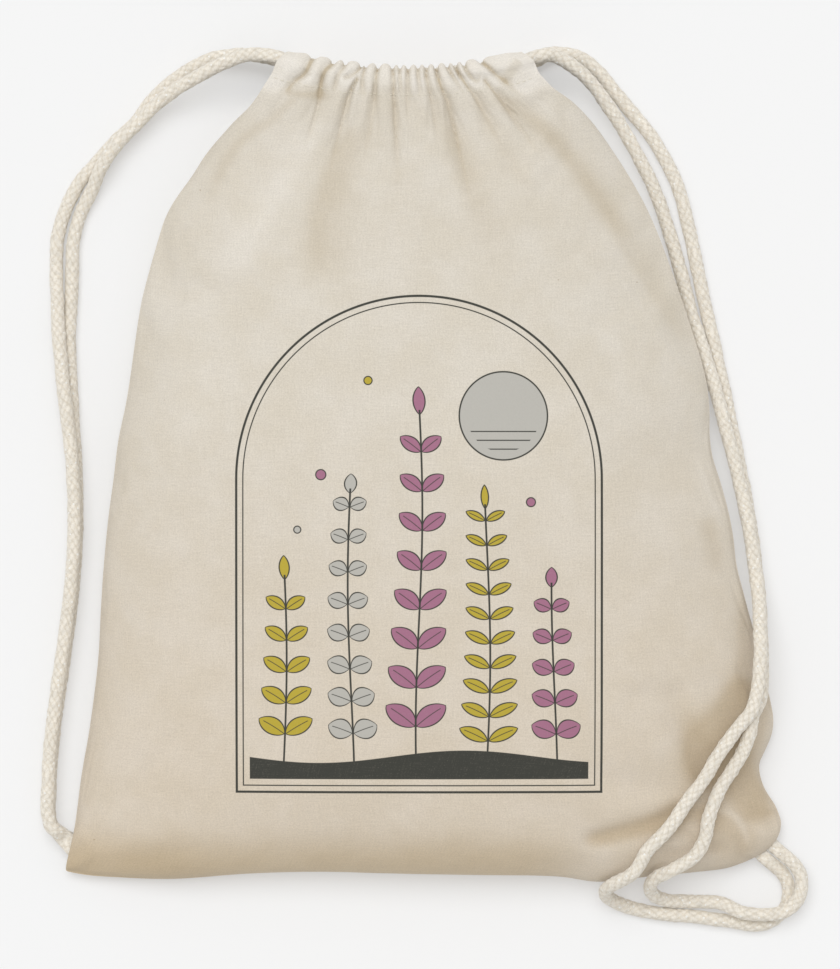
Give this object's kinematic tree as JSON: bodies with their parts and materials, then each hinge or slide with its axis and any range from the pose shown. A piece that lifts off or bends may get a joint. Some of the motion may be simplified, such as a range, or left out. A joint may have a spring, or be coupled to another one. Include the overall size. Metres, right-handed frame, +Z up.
{
  "type": "drawstring backpack",
  "caption": "Cotton drawstring backpack lying on its back, lightly filled, with a gathered mouth and two round cords that run through the hem and are sewn into the bottom corners.",
  "frame": {"origin": "centre of the bottom face of the bag's bounding box, without its cords, on the surface that it lies on", "axes": "+X across the bag, +Y from its bottom seam to its mouth, +Z up out of its front panel"},
  "size_m": [0.3971, 0.4582, 0.0645],
  "materials": {
    "cotton_cloth": "matte plain-woven natural cotton",
    "cotton_cord": "matte braided natural cotton"
  },
  "bodies": {
    "bag": {"front_panel": "cotton_cloth", "back_panel": "cotton_cloth", "front_hem_channel": "cotton_cloth", "back_hem_channel": "cotton_cloth", "left_side_seam": "cotton_cloth", "right_side_seam": "cotton_cloth", "bottom_seam": "cotton_cloth", "left_cord_outer": "cotton_cord", "left_cord_inner": "cotton_cord", "right_cord_inner": "cotton_cord", "right_cord_outer": "cotton_cord", "left_cord_outer_sewn_end": "cotton_cord", "left_cord_inner_sewn_end": "cotton_cord", "right_cord_inner_sewn_end": "cotton_cord", "right_cord_outer_sewn_end": "cotton_cord"},
    "left_drawcord": {"left_drawcord_run": "cotton_cord"},
    "right_drawcord": {"right_drawcord_run": "cotton_cord"}
  },
  "joints": [
    {"name": "left_drawcord_slide", "type": "hinge", "parent": "bag", "child": "left_drawcord", "pos_m": [0.00769, 0.44698, 0.024], "axis": [0, 0, 1], "range_deg": [0, 2.3], "deforming": ["left_cord_outer", "left_cord_inner"]},
    {"name": "right_drawcord_slide", "type": "hinge", "parent": "bag", "child": "right_drawcord", "pos_m": [-0.02529, 0.44698, 0.017], "axis": [0, 0, -1], "range_deg": [0, 2.3], "deforming": ["right_cord_outer", "right_cord_inner"]}
  ]
}
